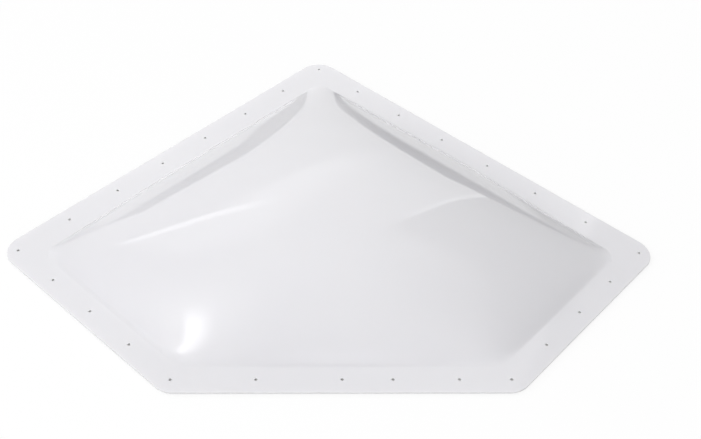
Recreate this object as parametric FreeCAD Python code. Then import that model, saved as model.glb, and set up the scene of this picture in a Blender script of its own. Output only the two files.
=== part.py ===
import FreeCAD, Part
import math
import os

# A five-sided roof skylight for a corner shower: one formed sheet on five strips of sealing tape.
# Millimetres. +Z is up, the front edge faces -Y, and z = 0 is the underside of the sealing strips.
# Plan points are first set out from the middle of the line between the two side corners.

# Sheet
LONG_SIDE = 825.5             # each back edge, between sharp corners
SHORT_SIDE = 431.8            # each side edge, between sharp corners
CORNER_RADIUS = 41.0
SHEET_THICKNESS = 3.2
FLANGE_WIDTH = 49.0           # outer edge to the foot of the dome, at the sides and the front
BACK_FLANGE_WIDTH = 59.0
FOOT_CORNER_RADIUS = 30.0

# Dome
CROWN_HEIGHT = 100.0          # top of the flange to the top of the dome
FOOT_RADIUS = 12.0            # width over which the flange turns up, at the sides and the front
BACK_FOOT_RADIUS = 2.0        # the back edges of the dome start at a crease
SOFT_HEIGHT = 10.0            # smaller values give steeper edges and a flatter crown
BACK_REACH = 1750.0           # how far in from the foot a back edge still holds the sheet down
SIDE_REACH = 300.0
FRONT_REACH = 410.0
LEAN_SHARE = 0.6              # how far the crown sits towards the front
SIDE_FALL_SHARE = 0.2         # how fast the dome falls off towards the side corners
CAP_SHARE = 0.04              # size of the level cap at the crown, as a share of the foot
POINTS_PER_SIDE = 10
POINTS_PER_CORNER = 6
RING_COUNT = 20
RING_CROWDING = 2.0           # above 1 draws the rings together at the foot

# Screw holes
HOLE_DIAMETER = 4.8
HOLE_INSET = 25.4             # outer edge to the line of holes
BACK_ROW_COUNT = 7            # steps from one corner hole to the next
SIDE_ROW_COUNT = 4
FRONT_HOLES_X = (-135.0, 0.0, 80.0, 185.0)

# Sealing strips
SEAL_THICKNESS = 3.0
SEAL_WIDTH = 25.0
SEAL_SETBACK = 14.0           # outer edge of the sheet to the strip

CUBIC = 3
HALF_WIDTH = LONG_SIDE / math.sqrt(2)
SHEET_TOP = SEAL_THICKNESS + SHEET_THICKNESS

# Each edge: the direction that it faces, in degrees, its distance from the plan origin, its reach,
# the width of its flange and the radius of its foot.
FRONT_DISTANCE = SHORT_SIDE / math.sqrt(2)
EDGES = {
    "back_right": (45.0, LONG_SIDE / 2, BACK_REACH, BACK_FLANGE_WIDTH, BACK_FOOT_RADIUS),
    "back_left": (135.0, LONG_SIDE / 2, BACK_REACH, BACK_FLANGE_WIDTH, BACK_FOOT_RADIUS),
    "side_left": (225.0, LONG_SIDE / 2, SIDE_REACH, FLANGE_WIDTH, FOOT_RADIUS),
    "front": (270.0, FRONT_DISTANCE, FRONT_REACH, FLANGE_WIDTH, FOOT_RADIUS),
    "side_right": (315.0, LONG_SIDE / 2, SIDE_REACH, FLANGE_WIDTH, FOOT_RADIUS),
}
EDGE_NAMES = list(EDGES)


def facing(edge):
    """Unit vector that an edge faces."""
    angle = math.radians(EDGES[edge][0])
    return FreeCAD.Vector(math.cos(angle), math.sin(angle), 0)


def next_edge(edge):
    """The neighbour of an edge, going round anticlockwise."""
    return EDGE_NAMES[(EDGE_NAMES.index(edge) + 1) % len(EDGE_NAMES)]


def line_distance(edge, inset, at_foot):
    """Distance from the plan origin to an edge, or to its foot of the dome, moved in by inset."""
    _, distance, _, flange, _ = EDGES[edge]
    if at_foot:
        distance -= flange
    return distance - inset


def corner_point(edge, inset, at_foot=False):
    """Where an edge meets the next one, or foot meets foot, with both moved in by inset."""
    a = facing(edge)
    b = facing(next_edge(edge))
    reach_a = line_distance(edge, inset, at_foot)
    reach_b = line_distance(next_edge(edge), inset, at_foot)
    cross = a.x * b.y - a.y * b.x
    x = (reach_a * b.y - reach_b * a.y) / cross
    y = (reach_b * a.x - reach_a * b.x) / cross
    return FreeCAD.Vector(x, y, 0)


def corner_arc(edge, inset, radius, share, at_foot=False):
    """Point on the rounded corner after an edge, from share 0 at its start to 1 at its end."""
    centre = corner_point(edge, inset + radius, at_foot)
    start = math.radians(EDGES[edge][0])
    turn = facing(edge).getAngle(facing(next_edge(edge)))
    angle = start + share * turn
    return centre + FreeCAD.Vector(math.cos(angle), math.sin(angle), 0) * radius


def rounded_outline(inset, radius, z):
    """Closed wire of the five edges, moved in by inset, with rounded corners."""
    parts = []
    for edge in EDGE_NAMES:
        start = corner_arc(edge, inset, radius, 0.0)
        middle = corner_arc(edge, inset, radius, 0.5)
        end = corner_arc(edge, inset, radius, 1.0)
        following = corner_arc(next_edge(edge), inset, radius, 0.0)
        parts.append(Part.Arc(start, middle, end).toShape())
        parts.append(Part.LineSegment(end, following).toShape())
    wire = Part.Wire(parts)
    wire.translate(FreeCAD.Vector(0, 0, z))
    return wire


def foot_points():
    """Plan points round the foot of the dome, closer together in its corners."""
    points = []
    for edge in EDGE_NAMES:
        for i in range(POINTS_PER_CORNER):
            share = i / POINTS_PER_CORNER
            points.append(corner_arc(edge, 0.0, FOOT_CORNER_RADIUS, share, at_foot=True))
        start = corner_arc(edge, 0.0, FOOT_CORNER_RADIUS, 1.0, at_foot=True)
        end = corner_arc(next_edge(edge), 0.0, FOOT_CORNER_RADIUS, 0.0, at_foot=True)
        for i in range(POINTS_PER_SIDE):
            points.append(start + (end - start) * (i / POINTS_PER_SIDE))
    return points


def swell(x, y):
    """How freely the blown sheet can rise: one factor per foot edge, from 0 there towards 1."""
    product = 1.0
    for edge, (_, distance, reach, flange, radius) in EDGES.items():
        way = facing(edge)
        room = max(distance - flange - way.x * x - way.y * y, 0.0)
        eased = math.hypot(room, radius) - radius
        product *= 1 - math.exp(-eased / reach)
    across = x / HALF_WIDTH
    along = y / HALF_WIDTH
    return product * (1 - LEAN_SHARE * along - SIDE_FALL_SHARE * across ** 2)


def find_crown():
    """Plan y of the highest point, and the swell there."""
    steps = 500
    span = HALF_WIDTH + FRONT_DISTANCE
    heights = [(swell(0, -FRONT_DISTANCE + span * i / steps), i) for i in range(steps)]
    peak, i = max(heights)
    return -FRONT_DISTANCE + span * i / steps, peak


CROWN_Y, PEAK_SWELL = find_crown()


def rise(x, y):
    """Height of the dome above the flange: the square root of the swell, eased at the foot."""
    share = max(swell(x, y), 0.0) / PEAK_SWELL
    full = CROWN_HEIGHT * (CROWN_HEIGHT + 2 * SOFT_HEIGHT)
    return math.sqrt(SOFT_HEIGHT ** 2 + full * share) - SOFT_HEIGHT


def wall_drop(x, y):
    """Vertical distance between the two faces of the sheet where it slopes."""
    step = 1.0
    slope_x = (rise(x + step, y) - rise(x - step, y)) / (2 * step)
    slope_y = (rise(x, y + step) - rise(x, y - step)) / (2 * step)
    return SHEET_THICKNESS * math.sqrt(1 + slope_x ** 2 + slope_y ** 2)


def dome_surface(under):
    """Smooth surface from the foot of the dome to the cap: its top face, or its underside."""
    crown = FreeCAD.Vector(0, CROWN_Y, 0)
    level = SEAL_THICKNESS if under else SHEET_TOP
    rings = []
    for i in range(RING_COUNT):
        share = 1 - (1 - CAP_SHARE) * (i / (RING_COUNT - 1)) ** RING_CROWDING
        ring = []
        for foot in foot_points():
            point = crown + (foot - crown) * share
            z = level + rise(point.x, point.y)
            if under:
                z += SHEET_THICKNESS - wall_drop(point.x, point.y)
            if i < 2:
                z = level
            if i == RING_COUNT - 1:
                z = level + CROWN_HEIGHT
            ring.append(FreeCAD.Vector(point.x, point.y, z))
        rings.append(ring)
    around = len(rings[0])
    poles = [[ring[j] for ring in rings] for j in range(around)]
    surface = Part.BSplineSurface()
    surface.buildFromPolesMultsKnots(
        poles,
        [1] * (around + 1),
        [CUBIC + 1] + [1] * (RING_COUNT - CUBIC - 1) + [CUBIC + 1],
        list(range(around + 1)),
        list(range(RING_COUNT - CUBIC + 1)),
        True,
        False,
        CUBIC,
        CUBIC,
    )
    return surface


def sheet_face(under):
    """Flange, dome and cap faces of one side of the sheet."""
    surface = dome_surface(under)
    foot = Part.Wire(surface.vIso(0).toShape())
    cap_edge = Part.Wire(surface.vIso(RING_COUNT - CUBIC).toShape())
    level = SEAL_THICKNESS if under else SHEET_TOP
    outline = rounded_outline(0, CORNER_RADIUS, level)
    flange = Part.makeFace([outline, foot], "Part::FaceMakerBullseye")
    return [flange, surface.toShape(), Part.Face(cap_edge)]


def hole_points():
    """Plan points of the screw holes: one in each corner, rows between them, and the front row."""
    row_counts = {"back": BACK_ROW_COUNT, "side": SIDE_ROW_COUNT, "front": 1}
    points = []
    for edge in EDGE_NAMES:
        start = corner_point(edge, HOLE_INSET)
        end = corner_point(next_edge(edge), HOLE_INSET)
        count = row_counts[next_edge(edge).split("_")[0]]
        for i in range(count):
            points.append(start + (end - start) * (i / count))
    for x in FRONT_HOLES_X:
        points.append(FreeCAD.Vector(x, HOLE_INSET - FRONT_DISTANCE, 0))
    return points


def make_outer_dome():
    """The formed sheet: flange and dome in one piece, drilled round its edge."""
    outline = rounded_outline(0, CORNER_RADIUS, SEAL_THICKNESS)
    rim = outline.extrude(FreeCAD.Vector(0, 0, SHEET_THICKNESS))
    faces = sheet_face(under=True) + sheet_face(under=False) + rim.Faces
    shell = Part.makeShell(faces)
    shell.sewShape()
    sheet = Part.makeSolid(shell)
    drills = []
    for point in hole_points():
        base = point + FreeCAD.Vector(0, 0, SEAL_THICKNESS - SHEET_THICKNESS)
        drills.append(Part.makeCylinder(HOLE_DIAMETER / 2, 3 * SHEET_THICKNESS, base))
    return sheet.cut(Part.makeCompound(drills))


def make_seal(edge):
    """Strip of sealing tape under one edge of the flange, mitred where it meets its neighbours."""
    before = EDGE_NAMES[EDGE_NAMES.index(edge) - 1]
    outer = SEAL_SETBACK
    inner = SEAL_SETBACK + SEAL_WIDTH
    corners = [
        corner_point(before, outer),
        corner_point(edge, outer),
        corner_point(edge, inner),
        corner_point(before, inner),
    ]
    plan = Part.Face(Part.makePolygon(corners + corners[:1]))
    return plan.extrude(FreeCAD.Vector(0, 0, SEAL_THICKNESS))


def export(name, shape):
    """Move the shape to the middle of the sheet's own box, and write its file."""
    apex = corner_arc("back_right", 0, CORNER_RADIUS, 0.5)
    shape.translate(FreeCAD.Vector(0, (FRONT_DISTANCE - apex.y) / 2, 0))
    shape.exportStep(os.path.join("parts", name + ".step"))
    box = shape.BoundBox
    print(f"{name}: valid {shape.isValid()}, solids {len(shape.Solids)}, volume {shape.Volume:.0f}")
    print(f"  x {box.XMin:.2f} {box.XMax:.2f}  y {box.YMin:.2f} {box.YMax:.2f}  z {box.ZMin:.2f} {box.ZMax:.2f}")


os.makedirs("parts", exist_ok=True)
export("outer_dome", make_outer_dome())
for edge_name in EDGE_NAMES:
    export("seal_" + edge_name, make_seal(edge_name))
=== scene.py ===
import math

import bmesh
import bpy
import numpy as np
from mathutils import Matrix, Vector, geometry


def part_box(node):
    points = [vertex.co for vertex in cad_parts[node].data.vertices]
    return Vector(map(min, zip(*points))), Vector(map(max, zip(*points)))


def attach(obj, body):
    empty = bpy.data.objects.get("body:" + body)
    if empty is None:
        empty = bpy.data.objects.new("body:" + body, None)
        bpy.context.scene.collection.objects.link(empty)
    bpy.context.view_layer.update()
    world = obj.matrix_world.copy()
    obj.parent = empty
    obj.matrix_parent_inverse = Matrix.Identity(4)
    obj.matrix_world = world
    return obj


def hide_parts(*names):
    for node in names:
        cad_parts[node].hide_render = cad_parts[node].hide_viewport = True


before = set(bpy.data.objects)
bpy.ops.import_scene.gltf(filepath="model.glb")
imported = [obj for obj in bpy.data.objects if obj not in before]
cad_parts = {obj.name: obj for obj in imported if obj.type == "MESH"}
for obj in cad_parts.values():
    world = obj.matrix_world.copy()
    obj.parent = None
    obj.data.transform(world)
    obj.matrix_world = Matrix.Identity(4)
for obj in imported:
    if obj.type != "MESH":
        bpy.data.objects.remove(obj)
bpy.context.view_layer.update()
INCH = 0.0254

# The sheet's plan, in metres. Plan points are set out from the middle of the line between the side
# corners, and moved to the frame's own middle when a mesh is made.
LONG_SIDE = 32.5 * INCH
SHORT_SIDE = 17 * INCH
CORNER_RADIUS = 0.041
FOOT_CORNER_RADIUS = 0.030
SHEET_THICKNESS = 0.0032
SHEET_LOW, SHEET_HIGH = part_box("outer_dome")
FLANGE_TOP = SHEET_LOW.z + SHEET_THICKNESS
CROWN_HEIGHT = SHEET_HIGH.z - FLANGE_TOP
HALF_WIDTH = LONG_SIDE / math.sqrt(2)
FRONT_DISTANCE = SHORT_SIDE / math.sqrt(2)
PLAN_SHIFT = SHEET_LOW.y + FRONT_DISTANCE

# The dome's form, as the solid has it
SOFT_HEIGHT = 0.010
LEAN_SHARE = 0.6
SIDE_FALL_SHARE = 0.2
CROWN_SEARCH_POINTS = 4001

# The five edges, anticlockwise from the right-hand back edge: where each faces, how far off it
# is, how far in it holds the sheet down, how wide its flange is, how gently the dome starts there,
# and how many steps its row of holes has
EDGE_ANGLES = np.radians([45.0, 135.0, 225.0, 270.0, 315.0])
EDGE_FACINGS = np.stack([np.cos(EDGE_ANGLES), np.sin(EDGE_ANGLES)], axis=1)
EDGE_DISTANCES = np.array([LONG_SIDE / 2] * 3 + [FRONT_DISTANCE, LONG_SIDE / 2])
EDGE_REACHES = np.array([1.75, 1.75, 0.30, 0.41, 0.30])
FLANGE_WIDTHS = np.array([0.059, 0.059, 0.049, 0.049, 0.049])
FOOT_RADII = np.array([0.002, 0.002, 0.012, 0.012, 0.012])
EDGE_COUNT = len(EDGE_ANGLES)
HOLE_STEPS = [7, 4, 1, 4, 7]
EDGE_NAMES = ["back_right", "back_left", "side_left", "front", "side_right"]

# Drilled holes
HOLE_RADIUS = 0.0024
HOLE_INSET = INCH
FRONT_HOLES_X = [-0.135, 0.0, 0.080, 0.185]
HOLE_CHAMFER = 0.00025
HOLE_FACETS = 28

# The sheet's mesh: its fineness, how its flat faces are cut into triangles, and the numbers of its
# two finishes
EDGE_ROUNDING = 0.0005
SUPPORT_GAP = 0.0008
FOOT_SUPPORT_GAP = 2 * SUPPORT_GAP
POINTS_PER_CORNER = 24
POINTS_PER_SIDE = 60
TOP_RINGS = 110
UNDER_RINGS = 60
RING_CROWDING = 2.0
ROUNDING_STEPS = 5
MERGE_DISTANCE = 1e-6
TRIANGLE_TOLERANCE = MERGE_DISTANCE / 10
KEEP_INSIDE = 1
SHARP_ANGLE = math.radians(38)
SLOPE_STEP = 0.001
MAIN_FINISH = 0
CUT_FINISH = 1

# Sealing tape
TAPE_SETBACK = 0.014
TAPE_WIDTH = 0.025
TAPE_STATIONS = 160
TAPE_PROFILE_POINTS = 36
TAPE_SQUARENESS = 0.32
TAPE_WANDER = 0.0007
TAPE_WAVES = (61, 147)
TAPE_FAST_SHARE = 0.5

# Finishes. A noise is its scale, its detail and its stretch. A range is the two noise values that a
# step runs between, and what it gives at each. Dust is its amount and the scales of its specks and
# patches, and a relief is its strength and its depth in metres.
DUST_INPUTS = ("Amount", "Speck Scale", "Patch Scale")
DUST_SPECK_RANGE = (0.52, 0.72)
DUST_PATCH_RANGE = (0.35, 0.75, 0.15, 1.0)
DUST_DETAIL = 3.0
ACRYLIC_IOR = 1.49
ACRYLIC_SCATTER_SHARE = 0.35
ACRYLIC_SCATTER_COLOUR = (1.0, 0.96, 0.92)
ACRYLIC_SCATTER_DEPTH = 0.006
SHEET_COLOURS = [(0.80, 0.793, 0.824, 1), (0.82, 0.813, 0.842, 1)]
SHEET_CLOUDING = (3.0, 2.0)
SHEET_CLOUDING_RANGE = (0.3, 0.7)
SHEET_DUST = (0.06, 520.0, 4.0)
SHEET_DUST_COLOUR = (0.60, 0.59, 0.57, 1)
SHEET_WIPING = (60.0, 3.0, (1.0, 9.0, 1.0))
SHEET_ROUGHNESS_RANGE = (0.35, 0.75, 0.006, 0.016)
SHEET_WAVES = (9.0, 1.0)
SHEET_RELIEF = (0.05, 0.002)
CUT_COLOURS = [(0.70, 0.70, 0.71, 1), (0.80, 0.80, 0.81, 1)]
CUT_MARKS = (900.0, 3.0, (1.0, 1.0, 0.08))
CUT_DUST = (0.45, 700.0, 25.0)
CUT_DUST_COLOUR = (0.50, 0.49, 0.47, 1)
CUT_ROUGHNESS_RANGE = (0.3, 0.7, 0.42, 0.6)
CUT_RELIEF = (0.35, 0.0002)
PUTTY_COLOURS = [(0.50, 0.50, 0.48, 1), (0.60, 0.60, 0.58, 1)]
PUTTY_MOTTLE = (38.0, 3.0)
PUTTY_MOTTLE_RANGE = (0.3, 0.7)
PUTTY_PITS = (850.0, 4.0)
PUTTY_DUST = (0.6, 420.0, 12.0)
PUTTY_DUST_COLOUR = (0.42, 0.40, 0.37, 1)
PUTTY_ROUGHNESS_RANGE = (0.3, 0.7, 0.7, 0.92)
PUTTY_RELIEF = (0.5, 0.0004)

# The places of the first value and of the result in a mix of each kind
MIX_FIRST = {"FLOAT": 2, "RGBA": 6}
MIX_RESULT = {"FLOAT": 0, "RGBA": 2}

# The photograph's camera: 701 pixels wide, its optical axis left of the middle
PHOTO_WIDTH = 701
PHOTO_HEIGHT = 439
AXIS_PIXEL = (293.6, 217.0)
FOCAL_PIXELS = 1026.5
SENSOR_WIDTH = 36.0
CAMERA_AZIMUTH = math.radians(-3.26)
CAMERA_ELEVATION = math.radians(43.52)
CAMERA_ROLL = math.radians(2.57)
CAMERA_DISTANCE = 1.868
CAMERA_TARGET = Vector((-0.0664, 0.0878 + PLAN_SHIFT, FLANGE_TOP))
CLIP_START = 0.05

# Light on the object: an even fill from all round, stronger from the front left, and a weak lamp
FILL_LEVEL = 0.86
FILL_SLANT = (-0.67, -0.385, 0.0)
KEY_PLACE = (-1.5, -0.6, 1.5)
KEY_SIZE = 0.7
KEY_POWER = 2.7

# The floor, and the share of white glow that keeps it white in the picture
FLOOR_HALF = 30.0
FLOOR_COLOUR = (0.95, 0.95, 0.95, 1)
FLOOR_GLOW = 1.03
FLOOR_GLOW_SHARE = 0.8

# What the gloss shows. Each direction is a bearing, in degrees from the back and turning to the
# right, and a height above level. An edge is the straight line that is seen through two directions.
# A fade is where a smooth step starts and ends, with what it gives there if that isn't 0 and 1.
# CRISP, FIRM, SOFT and FAINT say how soft an edge is.
TO_THE_BACK = (0, 0)
TO_THE_RIGHT = (90, 0)
UPWARD = (0, 90)
CRISP = 0.008
FIRM = 0.016
SOFT = 0.035
FAINT = 0.105

# Soft lights: the middle, the brightness and a power that narrows it
SOFT_LIGHTS = [
    ((1, 28.6), 2.44, 3.4),
    ((-10, 81), 0.81, 9.7),
    ((120, 48), 0.94, 0.7),
    ((-105, 61), 1.4, 40.0),
    ((180, 24), 1.5, 30.0),
]

# The wall at the back: its foot over the ground on each side, how it dims towards the foot, and how
# far round to the sides the ground shows below it
WALL_FEET_LEFT = [((-2.5, 3.1), (-10, 11.0)), ((-10, 10.6), (-26, 19.0)), ((-27, 18.5), (-31.5, 12))]
WALL_FEET_RIGHT = [((9.5, 1.8), (20, 10.0)), ((23, 11.9), (37, 12.6))]
WALL_FOOT_MIDDLE = ((6, 2.2), (10, 2.0))
WALL_MIDDLE = (-5, 42)
WALL_FADE = (-0.03, 0.76, 0.8, 1.0)
BACK_FADE = (0.45, 0.65)

# The darker side wall on the right, with a bright rim along its edge
SIDE_WALL_EDGE = ((28.2, 15), (23.6, 49.8))
SIDE_WALL_SHARE = 0.64
SIDE_WALL_RIM = ((27.2, 15), (22.2, 49.8))
SIDE_WALL_RIM_GAIN = 0.75
SIDE_WALL_RIM_TOP = (0.70, 0.62)
SIDE_WALL_TOP = (0.86, 0.72)

# The brighter panel on the left, each of its sides with a softness, and the bright rim along its foot
PANEL_MIDDLE = (-22, 44)
PANEL_FOOT = ((-40, 36.2), (-20, 38.1))
PANEL_FOOT_RIGHT = ((-20.4, 38.1), (1.9, 22.8))
PANEL_SIDES = [
    (((-14.6, 54.2), (4.6, 30)), 0.10),
    (((-43, 54), (-15, 57)), 0.08),
    (((-41, 36), (-46, 55)), 0.06),
]
PANEL_GAIN = 0.6
RIM_TOP = ((-40, 39), (-20, 41))
RIM_END = ((-12, 36), (-10, 44))
RIM_GAIN = 1.6

# The window: fades at its sides and at its ends
WINDOW_MIDDLE = (-114, 61.3)
WINDOW_LEVEL_AXIS = (90, 55)
WINDOW_SIDES = [(-0.13, 0.0), (0.075, 0.01)]
WINDOW_ENDS = [(-0.20, -0.10), (0.20, 0.02)]
WINDOW_GAIN = 4.5

# The dark gaps between wall and ground, on the left and on the right
GAP_LEFT = (-12, 7)
GAP_LEFT_FOOT = ((-10, 1.5), (-24, 10.5))
GAP_LEFT_BEND = ((-7.6, -7), (-9.8, 1.5))
GAP_LEFT_BOTTOM = ((-9, -6.5), (-5, -7.5))
GAP_LEFT_END = ((-26.5, -4), (-29, 9))
GAP_LEFT_TIP = [((-0.2, 2.6), (-4.1, -1.4)), ((-4.1, -1.4), (-6.4, -8.3))]
GAP_RIGHT = (20, 4)
GAP_RIGHT_FOOT = ((17, -0.5), (29, 5.5))
GAP_RIGHT_TIP = ((4, 6), (11, -4))
GAP_LEVEL = 0.65
GAP_LEFT_FADE = (-0.3, -0.07, 0.4, 1.0)
GAP_RIGHT_FADE = (0.28, 0.08)

# The pale ground, and its shaded end on the right
GROUND_SHADE = ((26.3, -14), (31.5, 1))
GROUND_SHADE_SHARE = 0.55
GROUND_SIDE_FADE = (-0.2, 0.2, 1.06, 1.17)
GROUND_DEPTH_FADE = (-0.7, 0.1, 0.77, 1.0)


def corner_points(insets):
    """Where each edge meets the next, moved in by one inset or one each: two lines per corner."""
    distances = EDGE_DISTANCES - insets
    points = []
    for i in range(EDGE_COUNT):
        j = (i + 1) % EDGE_COUNT
        pair = np.array([EDGE_FACINGS[i], EDGE_FACINGS[j]])
        points.append(np.linalg.solve(pair, np.array([distances[i], distances[j]])))
    return np.array(points)


def rounded_outline(insets, radius):
    """Five straight sides joined by arcs of one radius, as one closed row of plan points."""
    centres = corner_points(insets + radius)
    turns = np.diff(np.append(EDGE_ANGLES, EDGE_ANGLES[0] + 2 * math.pi))
    shares = np.linspace(0, 1, POINTS_PER_SIDE + 1)[1:-1, None]
    rows = []
    for i in range(EDGE_COUNT):
        j = (i + 1) % EDGE_COUNT
        angles = EDGE_ANGLES[i] + turns[i] * np.linspace(0, 1, POINTS_PER_CORNER + 1)
        arc = centres[i] + radius * np.stack([np.cos(angles), np.sin(angles)], axis=1)
        following = centres[j] + radius * EDGE_FACINGS[j]
        rows.append(np.concatenate([arc, arc[-1] * (1 - shares) + following * shares]))
    return np.concatenate(rows)


def hole_centres():
    """A hole in each inset corner, evenly spaced holes between them, and the uneven front row."""
    corners = corner_points(HOLE_INSET)
    rows = []
    for i, steps in enumerate(HOLE_STEPS):
        shares = np.arange(steps)[:, None] / steps
        rows.append(corners[i] * (1 - shares) + corners[(i + 1) % EDGE_COUNT] * shares)
    rows.append(np.array([[x, HOLE_INSET - FRONT_DISTANCE] for x in FRONT_HOLES_X]))
    return np.concatenate(rows)


def swell(plan):
    """How freely the blown sheet rises: per foot edge 1 - exp(-distance / reach), multiplied.

    Each distance is eased at the foot, as the long side of a right triangle on the foot radius.
    The product is then weighted towards the front and away from the side corners.
    """
    room = np.maximum(EDGE_DISTANCES - FLANGE_WIDTHS - plan @ EDGE_FACINGS.T, 0)
    eased = np.hypot(room, FOOT_RADII) - FOOT_RADII
    product = np.prod(1 - np.exp(-eased / EDGE_REACHES), axis=-1)
    across = plan[..., 0] / HALF_WIDTH
    along = plan[..., 1] / HALF_WIDTH
    return product * (1 - LEAN_SHARE * along - SIDE_FALL_SHARE * across ** 2)


def find_crown():
    """Plan point of the highest place, on the middle line, and the swell there."""
    steps = np.linspace(-FRONT_DISTANCE, HALF_WIDTH, CROWN_SEARCH_POINTS)
    line = np.stack([np.zeros_like(steps), steps], axis=1)
    heights = swell(line)
    return line[heights.argmax()], heights.max()


CROWN, PEAK_SWELL = find_crown()


def rise(plan):
    """Height above the flange: the square root of the swell, eased at the foot, full at the crown."""
    share = np.clip(swell(plan) / PEAK_SWELL, 0, 1)
    full = CROWN_HEIGHT * (CROWN_HEIGHT + 2 * SOFT_HEIGHT)
    return np.sqrt(SOFT_HEIGHT ** 2 + full * share) - SOFT_HEIGHT


def wall_drop(plan):
    """Vertical distance between the sheet's faces: its thickness over the cosine of its slope."""
    slopes = []
    for way in ([SLOPE_STEP, 0], [0, SLOPE_STEP]):
        slopes.append((rise(plan + way) - rise(plan - way)) / (2 * SLOPE_STEP))
    return SHEET_THICKNESS * np.sqrt(1 + slopes[0] ** 2 + slopes[1] ** 2)


def lift(plan, z):
    """Plan points with a height, which may be one value or one for each point."""
    heights = np.broadcast_to(z, plan.shape[:-1])
    return np.concatenate([plan, heights[..., None]], axis=-1)


def dome_rings(count, under):
    """Rings of points from the foot to the crown, drawn together at the foot.

    The underside lies a wall thickness below, and nowhere lower than the flange's own underside.
    """
    foot = rounded_outline(FLANGE_WIDTHS, FOOT_CORNER_RADIUS)
    shares = 1 - np.linspace(0, 1, count) ** RING_CROWDING
    plan = CROWN + (foot - CROWN) * shares[:, None, None]
    height = rise(plan)
    height[0] = 0
    if under:
        height = np.maximum(height - wall_drop(plan), -SHEET_THICKNESS)
        height[0] = -SHEET_THICKNESS
    return lift(plan, FLANGE_TOP + height)


def loop_band(rings):
    """Four-sided faces between closed rings of points, given as (rings, points, 3)."""
    rows, columns = rings.shape[:2]
    index = np.arange(rows * columns).reshape(rows, columns)
    following = np.roll(index, -1, axis=1)
    quads = np.stack([index[:-1], following[:-1], following[1:], index[1:]], axis=-1)
    return rings.reshape(-1, 3), quads.reshape(-1, 4)


def rim_wall():
    """The outer edge of the sheet: quarter-round at its top and bottom, upright between."""
    angles = np.linspace(0, math.pi / 2, ROUNDING_STEPS)
    insets = EDGE_ROUNDING * (1 - np.sin(angles))
    drops = EDGE_ROUNDING * (1 - np.cos(angles))
    outlines = [rounded_outline(inset, CORNER_RADIUS - inset) for inset in insets]
    bottom = FLANGE_TOP - SHEET_THICKNESS
    upper = [lift(line, FLANGE_TOP - drop) for line, drop in zip(outlines, drops)]
    lower = [lift(line, bottom + drop) for line, drop in zip(outlines, drops)]
    return loop_band(np.array(upper + lower[::-1]))


def circle(centre, radius):
    """Plan points round a drilled hole."""
    angles = np.linspace(0, 2 * math.pi, HOLE_FACETS, endpoint=False)
    return centre + radius * np.stack([np.cos(angles), np.sin(angles)], axis=1)


def hole_wall(centre):
    """The wall of one drilled hole, with a fine chamfer at each end."""
    bottom = FLANGE_TOP - SHEET_THICKNESS
    wide = circle(centre, HOLE_RADIUS + HOLE_CHAMFER)
    bore = circle(centre, HOLE_RADIUS)
    rings = [
        lift(wide, FLANGE_TOP),
        lift(bore, FLANGE_TOP - HOLE_CHAMFER),
        lift(bore, bottom + HOLE_CHAMFER),
        lift(wide, bottom),
    ]
    return loop_band(np.array(rings))


def flange_face(z):
    """Flat triangles between the sheet's outline, the foot of the dome and the holes.

    A triangle with all its corners on one inner loop would close that opening, so it is left out.
    """
    outer_inset = EDGE_ROUNDING + SUPPORT_GAP
    foot_insets = FLANGE_WIDTHS - FOOT_SUPPORT_GAP
    rim = HOLE_RADIUS + HOLE_CHAMFER
    loops = [
        rounded_outline(EDGE_ROUNDING, CORNER_RADIUS - EDGE_ROUNDING),
        rounded_outline(FLANGE_WIDTHS, FOOT_CORNER_RADIUS),
    ]
    support = [
        rounded_outline(outer_inset, CORNER_RADIUS - outer_inset),
        rounded_outline(foot_insets, FOOT_CORNER_RADIUS + FOOT_SUPPORT_GAP),
    ]
    for centre in hole_centres():
        loops.append(circle(centre, rim))
        support.append(circle(centre, rim + SUPPORT_GAP))
    edges = []
    start = 0
    for loop in loops:
        index = start + np.arange(len(loop))
        edges += np.stack([index, np.roll(index, -1)], axis=1).tolist()
        start += len(loop)
    points = [Vector(point) for point in np.concatenate(loops + support).tolist()]
    result = geometry.delaunay_2d_cdt(points, edges, [], KEEP_INSIDE, TRIANGLE_TOLERANCE)
    vertices = np.array(result[0])
    triangles = np.array(result[2])
    owner = np.repeat(np.arange(len(loops + support)), [len(loop) for loop in loops + support])
    owner = owner[triangles]
    on_one_loop = (owner == owner[:, :1]).all(axis=1)
    inner_loop = (owner[:, 0] > 0) & (owner[:, 0] < len(loops))
    return lift(vertices, z), triangles[~(on_one_loop & inner_loop)]


def new_piece(name, patches, materials):
    """One closed object from patches, each of vertices, faces and the number of its material."""
    mesh = bpy.data.meshes.new(name)
    faces = []
    finishes = []
    start = 0
    for vertices, patch_faces, finish in patches:
        faces += (patch_faces + start).tolist()
        finishes += [finish] * len(patch_faces)
        start += len(vertices)
    placed = np.concatenate([patch[0] for patch in patches]) + [0, PLAN_SHIFT, 0]
    mesh.from_pydata(placed.tolist(), [], faces)
    for material in materials:
        mesh.materials.append(material)
    mesh.polygons.foreach_set("material_index", finishes)
    shape = bmesh.new()
    shape.from_mesh(mesh)
    bmesh.ops.remove_doubles(shape, verts=shape.verts, dist=MERGE_DISTANCE)
    bmesh.ops.recalc_face_normals(shape, faces=shape.faces)
    shape.to_mesh(mesh)
    shape.free()
    mesh.polygons.foreach_set("use_smooth", np.ones(len(mesh.polygons), dtype=bool))
    mesh.set_sharp_from_angle(angle=SHARP_ANGLE)
    piece = bpy.data.objects.new(name, mesh)
    bpy.context.scene.collection.objects.link(piece)
    return piece


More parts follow.
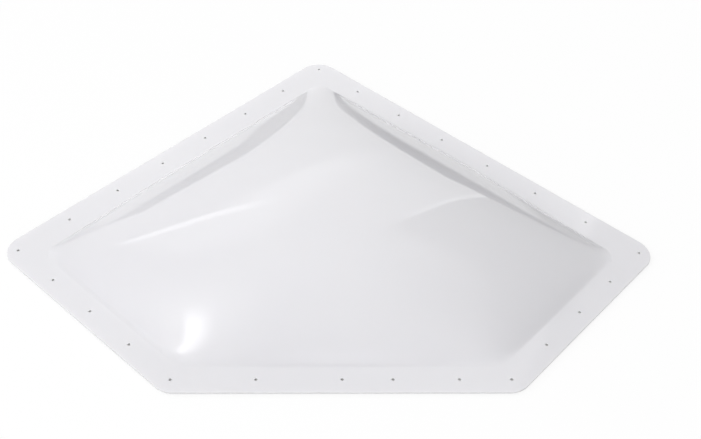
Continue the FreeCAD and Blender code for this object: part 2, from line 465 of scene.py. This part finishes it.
def make_sheet(gloss, cut_edge):
    """The formed sheet: flange, dome, underside, rounded rim and drilled holes as one closed skin."""
    patches = [
        (*flange_face(FLANGE_TOP), MAIN_FINISH),
        (*flange_face(FLANGE_TOP - SHEET_THICKNESS), MAIN_FINISH),
        (*loop_band(dome_rings(TOP_RINGS, under=False)), MAIN_FINISH),
        (*loop_band(dome_rings(UNDER_RINGS, under=True)), MAIN_FINISH),
        (*rim_wall(), CUT_FINISH),
    ]
    for centre in hole_centres():
        patches.append((*hole_wall(centre), CUT_FINISH))
    return new_piece("dome_sheet", patches, [gloss, cut_edge])


def make_tape(i, material):
    """Squeezed tape under edge i: a squarish bead carried between two mitred corners.

    Its section is a superellipse; its width wanders in two slow waves that fade out at the mitres.
    """
    before = (i - 1) % EDGE_COUNT
    along = np.linspace(0, 1, TAPE_STATIONS)[:, None]
    around = np.linspace(0, 2 * math.pi, TAPE_PROFILE_POINTS, endpoint=False)[None, :]
    across = np.sign(np.cos(around)) * np.abs(np.cos(around)) ** TAPE_SQUARENESS
    up = np.sign(np.sin(around)) * np.abs(np.sin(around)) ** TAPE_SQUARENESS
    sharp = corner_points(0)
    drift = corner_points(1) - sharp
    metres = along * np.linalg.norm(sharp[i] - sharp[before])
    slow, fast = TAPE_WAVES
    wave = np.sin(metres * slow + i) + TAPE_FAST_SHARE * np.sin(metres * fast + 2 * i)
    wave = wave * np.sin(math.pi * along)
    inset = TAPE_SETBACK + TAPE_WIDTH / 2 - across * (TAPE_WIDTH / 2 - TAPE_WANDER * wave)
    start = sharp[before] + inset[..., None] * drift[before]
    end = sharp[i] + inset[..., None] * drift[i]
    plan = start * (1 - along[..., None]) + end * along[..., None]
    rings = lift(plan, SHEET_LOW.z / 2 * (1 + up))
    cap = np.arange(TAPE_PROFILE_POINTS)[None, :]
    patches = [
        (*loop_band(rings), MAIN_FINISH),
        (rings[0], cap, MAIN_FINISH),
        (rings[-1], cap, MAIN_FINISH),
    ]
    return new_piece("tape_" + EDGE_NAMES[i], patches, [material])


def link(tree, value, socket):
    """Join a socket to an input, or set the input where the value is a plain number or colour."""
    if isinstance(value, bpy.types.NodeSocket):
        tree.links.new(value, socket)
    else:
        socket.default_value = value


def calculate(tree, operation, first, second=0.0):
    """A Math node on two sockets or numbers."""
    made = tree.nodes.new("ShaderNodeMath")
    made.operation = operation
    link(tree, first, made.inputs[0])
    link(tree, second, made.inputs[1])
    return made.outputs[0]


def ramp(tree, value, start, end, low=0.0, high=1.0):
    """Smooth step from low, where the value is start, to high, where it is end."""
    made = tree.nodes.new("ShaderNodeMapRange")
    made.interpolation_type = "SMOOTHSTEP"
    for name, number in (("From Min", start), ("From Max", end), ("To Min", low), ("To Max", high)):
        made.inputs[name].default_value = number
    tree.links.new(value, made.inputs["Value"])
    return made.outputs["Result"]


def blend(tree, share, low, high, kind="FLOAT"):
    """Mix of two numbers, colours or sockets by a share."""
    made = tree.nodes.new("ShaderNodeMix")
    made.data_type = kind
    first = MIX_FIRST[kind]
    link(tree, share, made.inputs[0])
    link(tree, low, made.inputs[first])
    link(tree, high, made.inputs[first + 1])
    return made.outputs[MIX_RESULT[kind]]


def noise(tree, place, scale, detail, stretch=None):
    """Noise on object coordinates, optionally stretched; returns its value."""
    if stretch:
        mapping = tree.nodes.new("ShaderNodeMapping")
        mapping.inputs["Scale"].default_value = stretch
        tree.links.new(place, mapping.inputs["Vector"])
        place = mapping.outputs["Vector"]
    made = tree.nodes.new("ShaderNodeTexNoise")
    tree.links.new(place, made.inputs["Vector"])
    link(tree, scale, made.inputs["Scale"])
    made.inputs["Detail"].default_value = detail
    return made.outputs["Fac"]


def dust_group():
    """Settled dust: fine specks, thicker inside cloudy patches. Gives a mask from 0 to 1."""
    group = bpy.data.node_groups.new("settled_dust", "ShaderNodeTree")
    for name in DUST_INPUTS:
        group.interface.new_socket(name, in_out="INPUT", socket_type="NodeSocketFloat")
    group.interface.new_socket("Mask", in_out="OUTPUT", socket_type="NodeSocketFloat")
    given = group.nodes.new("NodeGroupInput").outputs
    place = group.nodes.new("ShaderNodeTexCoord").outputs["Object"]
    specks = ramp(group, noise(group, place, given["Speck Scale"], DUST_DETAIL), *DUST_SPECK_RANGE)
    patches = ramp(group, noise(group, place, given["Patch Scale"], DUST_DETAIL), *DUST_PATCH_RANGE)
    mask = times(group, specks, patches, given["Amount"])
    result = group.nodes.new("NodeGroupOutput")
    group.links.new(mask, result.inputs["Mask"])
    return group


def lay_dust(tree, shader, group, settings, colour, dust_colour):
    """The shader's colour with settled dust over it; returns the dust's mask."""
    made = tree.nodes.new("ShaderNodeGroup")
    made.node_tree = group
    for name, value in zip(DUST_INPUTS, settings):
        made.inputs[name].default_value = value
    mask = made.outputs["Mask"]
    tree.links.new(blend(tree, mask, colour, dust_colour, "RGBA"), shader.inputs["Base Color"])
    return mask


def add_relief(tree, shader, height, strength, depth):
    """Small relief on a shader, from a height socket."""
    bump = tree.nodes.new("ShaderNodeBump")
    bump.inputs["Strength"].default_value = strength
    bump.inputs["Distance"].default_value = depth
    tree.links.new(height, bump.inputs["Height"])
    tree.links.new(bump.outputs["Normal"], shader.inputs["Normal"])


def fill_with_acrylic(shader):
    """The inside of the sheet: it bends light as acrylic does, and scatters it a little way in."""
    shader.inputs["IOR"].default_value = ACRYLIC_IOR
    shader.inputs["Subsurface Weight"].default_value = ACRYLIC_SCATTER_SHARE
    shader.inputs["Subsurface Radius"].default_value = ACRYLIC_SCATTER_COLOUR
    shader.inputs["Subsurface Scale"].default_value = ACRYLIC_SCATTER_DEPTH


def new_material(name):
    """A node material; returns it with its tree, its shader and its object coordinates."""
    material = bpy.data.materials.new(name)
    material.use_nodes = True
    tree = material.node_tree
    place = tree.nodes.new("ShaderNodeTexCoord").outputs["Object"]
    return material, tree, tree.nodes["Principled BSDF"], place


def milky_acrylic(dust):
    """Glossy milky sheet: faint clouding, slow waves from forming, fine wiping marks and dust."""
    material, tree, shader, place = new_material("milky_acrylic")
    clouding = ramp(tree, noise(tree, place, *SHEET_CLOUDING), *SHEET_CLOUDING_RANGE)
    colour = blend(tree, clouding, *SHEET_COLOURS, "RGBA")
    specks = lay_dust(tree, shader, dust, SHEET_DUST, colour, SHEET_DUST_COLOUR)
    rough = ramp(tree, noise(tree, place, *SHEET_WIPING), *SHEET_ROUGHNESS_RANGE)
    tree.links.new(calculate(tree, "ADD", rough, specks), shader.inputs["Roughness"])
    add_relief(tree, shader, noise(tree, place, *SHEET_WAVES), *SHEET_RELIEF)
    fill_with_acrylic(shader)
    return material


def sawn_acrylic(dust):
    """Cut and drilled edges of the sheet: duller, with fine upright tool marks and caught dust."""
    material, tree, shader, place = new_material("sawn_acrylic")
    marks = noise(tree, place, *CUT_MARKS)
    colour = blend(tree, marks, *CUT_COLOURS, "RGBA")
    lay_dust(tree, shader, dust, CUT_DUST, colour, CUT_DUST_COLOUR)
    tree.links.new(ramp(tree, marks, *CUT_ROUGHNESS_RANGE), shader.inputs["Roughness"])
    add_relief(tree, shader, marks, *CUT_RELIEF)
    fill_with_acrylic(shader)
    return material


def putty(dust):
    """Matt light grey putty tape: mottled, finely pitted, dusty where it is pressed out."""
    material, tree, shader, place = new_material("putty_tape")
    mottle = ramp(tree, noise(tree, place, *PUTTY_MOTTLE), *PUTTY_MOTTLE_RANGE)
    pits = noise(tree, place, *PUTTY_PITS)
    colour = blend(tree, mottle, *PUTTY_COLOURS, "RGBA")
    lay_dust(tree, shader, dust, PUTTY_DUST, colour, PUTTY_DUST_COLOUR)
    tree.links.new(ramp(tree, pits, *PUTTY_ROUGHNESS_RANGE), shader.inputs["Roughness"])
    add_relief(tree, shader, pits, *PUTTY_RELIEF)
    return material


def add_camera():
    """The photograph's camera: it looks at the target from its azimuth, elevation and roll."""
    data = bpy.data.cameras.new("camera")
    data.sensor_width = SENSOR_WIDTH
    data.lens = FOCAL_PIXELS / PHOTO_WIDTH * SENSOR_WIDTH
    data.shift_x = (PHOTO_WIDTH / 2 - AXIS_PIXEL[0]) / PHOTO_WIDTH
    data.shift_y = (AXIS_PIXEL[1] - PHOTO_HEIGHT / 2) / PHOTO_WIDTH
    data.clip_start = CLIP_START
    back = Vector((
        math.sin(CAMERA_AZIMUTH) * math.cos(CAMERA_ELEVATION),
        -math.cos(CAMERA_AZIMUTH) * math.cos(CAMERA_ELEVATION),
        math.sin(CAMERA_ELEVATION),
    ))
    right = (-back).cross(Vector((0, 0, 1))).normalized()
    up = back.cross(right)
    turned_right = right * math.cos(CAMERA_ROLL) + up * math.sin(CAMERA_ROLL)
    turned_up = up * math.cos(CAMERA_ROLL) - right * math.sin(CAMERA_ROLL)
    camera = bpy.data.objects.new("camera", data)
    bpy.context.scene.collection.objects.link(camera)
    axes = Matrix((turned_right, turned_up, back)).transposed().to_4x4()
    camera.matrix_world = Matrix.Translation(CAMERA_TARGET + back * CAMERA_DISTANCE) @ axes
    bpy.context.scene.camera = camera


def add_key():
    """One soft square lamp from the front left, near enough to fall off across the sheet."""
    data = bpy.data.lights.new("key", "AREA")
    data.size = KEY_SIZE
    data.energy = KEY_POWER
    lamp = bpy.data.objects.new("key", data)
    lamp.location = KEY_PLACE
    lamp.rotation_euler = (-Vector(KEY_PLACE)).to_track_quat("-Z", "Y").to_euler()
    lamp.visible_glossy = False
    bpy.context.scene.collection.objects.link(lamp)


def add_floor():
    """Level white floor that keeps the object's soft shadow and stays out of its gloss."""
    corners = [(x * FLOOR_HALF, y * FLOOR_HALF, 0) for x, y in ((-1, -1), (1, -1), (1, 1), (-1, 1))]
    mesh = bpy.data.meshes.new("floor")
    mesh.from_pydata(corners, [], [(0, 1, 2, 3)])
    floor = bpy.data.objects.new("floor", mesh)
    bpy.context.scene.collection.objects.link(floor)
    floor.visible_glossy = False
    material, tree, shader, _ = new_material("white_floor")
    shader.inputs["Base Color"].default_value = FLOOR_COLOUR
    shader.inputs["Roughness"].default_value = 1.0
    shader.inputs["Specular IOR Level"].default_value = 0.0
    glow = tree.nodes.new("ShaderNodeEmission")
    glow.inputs["Strength"].default_value = FLOOR_GLOW
    mix = tree.nodes.new("ShaderNodeMixShader")
    camera_ray = tree.nodes.new("ShaderNodeLightPath").outputs["Is Camera Ray"]
    tree.links.new(calculate(tree, "MULTIPLY", camera_ray, FLOOR_GLOW_SHARE), mix.inputs["Fac"])
    tree.links.new(shader.outputs["BSDF"], mix.inputs[1])
    tree.links.new(glow.outputs["Emission"], mix.inputs[2])
    tree.links.new(mix.outputs["Shader"], tree.nodes["Material Output"].inputs["Surface"])
    mesh.materials.append(material)


def direction(bearing, height):
    """Unit vector of a bearing and a height, both in degrees."""
    turn = math.radians(bearing)
    lean = math.radians(height)
    return Vector((math.sin(turn) * math.cos(lean), math.cos(turn) * math.cos(lean), math.sin(lean)))


def toward(tree, way, vector):
    """How far a direction points along a vector: their dot product."""
    made = tree.nodes.new("ShaderNodeVectorMath")
    made.operation = "DOT_PRODUCT"
    tree.links.new(way, made.inputs[0])
    made.inputs[1].default_value = vector
    return made.outputs["Value"]


def border(tree, way, edge, softness, within):
    """1 on one side of an edge, where the direction within lies, and 0 on the other."""
    across = direction(*edge[0]).cross(direction(*edge[1])).normalized()
    if across.dot(direction(*within)) < 0:
        across = -across
    return ramp(tree, toward(tree, way, across), -softness, softness)


def times(tree, *factors):
    """Product of sockets and numbers."""
    product = factors[0]
    for factor in factors[1:]:
        product = calculate(tree, "MULTIPLY", product, factor)
    return product


def inverse(tree, share):
    """One minus a share."""
    return calculate(tree, "SUBTRACT", 1.0, share)


def panel_in_gloss(tree, way):
    """A brighter panel with soft sides and a crisp foot, along which runs a narrow bright rim."""
    foot = border(tree, way, PANEL_FOOT, CRISP, PANEL_MIDDLE)
    foot_right = border(tree, way, PANEL_FOOT_RIGHT, SOFT, PANEL_MIDDLE)
    sides = [border(tree, way, edge, soft, PANEL_MIDDLE) for edge, soft in PANEL_SIDES]
    panel = times(tree, calculate(tree, "MAXIMUM", foot, foot_right), *sides, PANEL_GAIN)
    below = inverse(tree, border(tree, way, RIM_TOP, FIRM, PANEL_MIDDLE))
    end = border(tree, way, RIM_END, FAINT, PANEL_MIDDLE)
    return calculate(tree, "ADD", panel, times(tree, foot, below, sides[-1], end, RIM_GAIN))


def window_in_gloss(tree, way):
    """A narrow window: a bright strip that fades out at each side and, more slowly, at each end."""
    middle = direction(*WINDOW_MIDDLE)
    lengthwise = middle.cross(direction(*WINDOW_LEVEL_AXIS)).normalized()
    widthwise = middle.cross(lengthwise)
    across = toward(tree, way, widthwise)
    along = toward(tree, way, lengthwise)
    fades = [ramp(tree, across, *fade) for fade in WINDOW_SIDES]
    fades += [ramp(tree, along, *fade) for fade in WINDOW_ENDS]
    return times(tree, *fades, WINDOW_GAIN)


def gap_in_gloss(tree, way):
    """Where a dark gap shows between the wall and the ground: one on the left, one on the right."""
    foot = border(tree, way, GAP_LEFT_FOOT, FIRM, GAP_LEFT)
    bend = inverse(tree, border(tree, way, GAP_LEFT_BEND, FIRM, GAP_LEFT))
    bottom = border(tree, way, GAP_LEFT_BOTTOM, FIRM, GAP_LEFT)
    end = inverse(tree, border(tree, way, GAP_LEFT_END, SOFT, GAP_LEFT))
    tips = [border(tree, way, edge, CRISP, GAP_LEFT) for edge in GAP_LEFT_TIP]
    tip = calculate(tree, "MAXIMUM", *tips)
    left = calculate(tree, "MAXIMUM", foot, times(tree, bend, bottom))
    left = times(tree, calculate(tree, "MAXIMUM", left, end), tip)
    foot = border(tree, way, GAP_RIGHT_FOOT, SOFT, GAP_RIGHT)
    tip = border(tree, way, GAP_RIGHT_TIP, SOFT, GAP_RIGHT)
    return calculate(tree, "MAXIMUM", left, times(tree, foot, tip))


def ground_in_gloss(tree, way):
    """Pale ground, a little brighter on the right, with a shaded end, and the dark gaps over it."""
    across = toward(tree, way, direction(*TO_THE_RIGHT))
    side = ramp(tree, across, *GROUND_SIDE_FADE)
    depth = ramp(tree, toward(tree, way, direction(*UPWARD)), *GROUND_DEPTH_FADE)
    shade = border(tree, way, GROUND_SHADE, SOFT, GAP_LEFT)
    ground = times(tree, side, depth, ramp(tree, shade, 0.0, 1.0, GROUND_SHADE_SHARE, 1.0))
    gap = times(tree, ramp(tree, across, *GAP_LEFT_FADE), ramp(tree, across, *GAP_RIGHT_FADE), GAP_LEVEL)
    return blend(tree, gap_in_gloss(tree, way), ground, gap)


def over_feet(tree, way, feet):
    """1 on the wall's side of any of its feet, and 0 below them all."""
    over = 0.0
    for foot in feet:
        over = calculate(tree, "MAXIMUM", over, border(tree, way, foot, CRISP, WALL_MIDDLE))
    return over


def studio_in_gloss(tree, way):
    """What the gloss shows: soft lights, a side wall, a panel and a window above, the ground below."""
    height = toward(tree, way, direction(*UPWARD))
    wall = 0.0
    for middle, brightness, power in SOFT_LIGHTS:
        facing = calculate(tree, "MAXIMUM", toward(tree, way, direction(*middle)), 0.0)
        light = calculate(tree, "POWER", facing, power)
        wall = calculate(tree, "ADD", wall, times(tree, light, brightness))
    wall = calculate(tree, "ADD", wall, panel_in_gloss(tree, way))
    edge = border(tree, way, SIDE_WALL_EDGE, CRISP, WALL_MIDDLE)
    top = ramp(tree, height, *SIDE_WALL_TOP)
    rim = times(tree, inverse(tree, border(tree, way, SIDE_WALL_RIM, CRISP, WALL_MIDDLE)), edge)
    rim = times(tree, rim, ramp(tree, height, *SIDE_WALL_RIM_TOP))
    wall = calculate(tree, "ADD", wall, times(tree, rim, SIDE_WALL_RIM_GAIN))
    beside = times(tree, inverse(tree, edge), top)
    wall = times(tree, wall, ramp(tree, beside, 0.0, 1.0, 1.0, SIDE_WALL_SHARE))
    wall = times(tree, wall, ramp(tree, height, *WALL_FADE))
    wall = calculate(tree, "ADD", wall, window_in_gloss(tree, way))
    right = over_feet(tree, way, WALL_FEET_RIGHT)
    right = times(tree, right, border(tree, way, WALL_FOOT_MIDDLE, CRISP, WALL_MIDDLE))
    over = times(tree, over_feet(tree, way, WALL_FEET_LEFT), right)
    back = ramp(tree, toward(tree, way, direction(*TO_THE_BACK)), *BACK_FADE)
    below = times(tree, back, inverse(tree, over))
    return blend(tree, below, wall, ground_in_gloss(tree, way))


def add_world():
    """Even soft light, a little stronger from the front left, and a studio for the gloss to show."""
    world = bpy.data.worlds.new("studio")
    world.use_nodes = True
    bpy.context.scene.world = world
    tree = world.node_tree
    tree.nodes.clear()
    way = tree.nodes.new("ShaderNodeTexCoord").outputs["Generated"]
    slant = calculate(tree, "ADD", toward(tree, way, FILL_SLANT), 1.0)
    fill = calculate(tree, "MULTIPLY", slant, FILL_LEVEL)
    path = tree.nodes.new("ShaderNodeLightPath").outputs
    seen = blend(tree, path["Is Glossy Ray"], fill, studio_in_gloss(tree, way))
    plain = calculate(tree, "MAXIMUM", path["Is Camera Ray"], path["Is Transmission Ray"])
    seen = blend(tree, plain, seen, 1.0)
    background = tree.nodes.new("ShaderNodeBackground")
    tree.links.new(seen, background.inputs["Color"])
    output = tree.nodes.new("ShaderNodeOutputWorld")
    tree.links.new(background.outputs["Background"], output.inputs["Surface"])


settled_dust = dust_group()
sheet = make_sheet(milky_acrylic(settled_dust), sawn_acrylic(settled_dust))
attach(sheet, "root")
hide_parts("outer_dome")

tape_material = putty(settled_dust)
for edge_index, edge_name in enumerate(EDGE_NAMES):
    tape = make_tape(edge_index, tape_material)
    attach(tape, "root")
    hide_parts("seal_" + edge_name)

add_camera()
add_floor()
add_world()
add_key()
bpy.context.scene.view_settings.view_transform = "Standard"
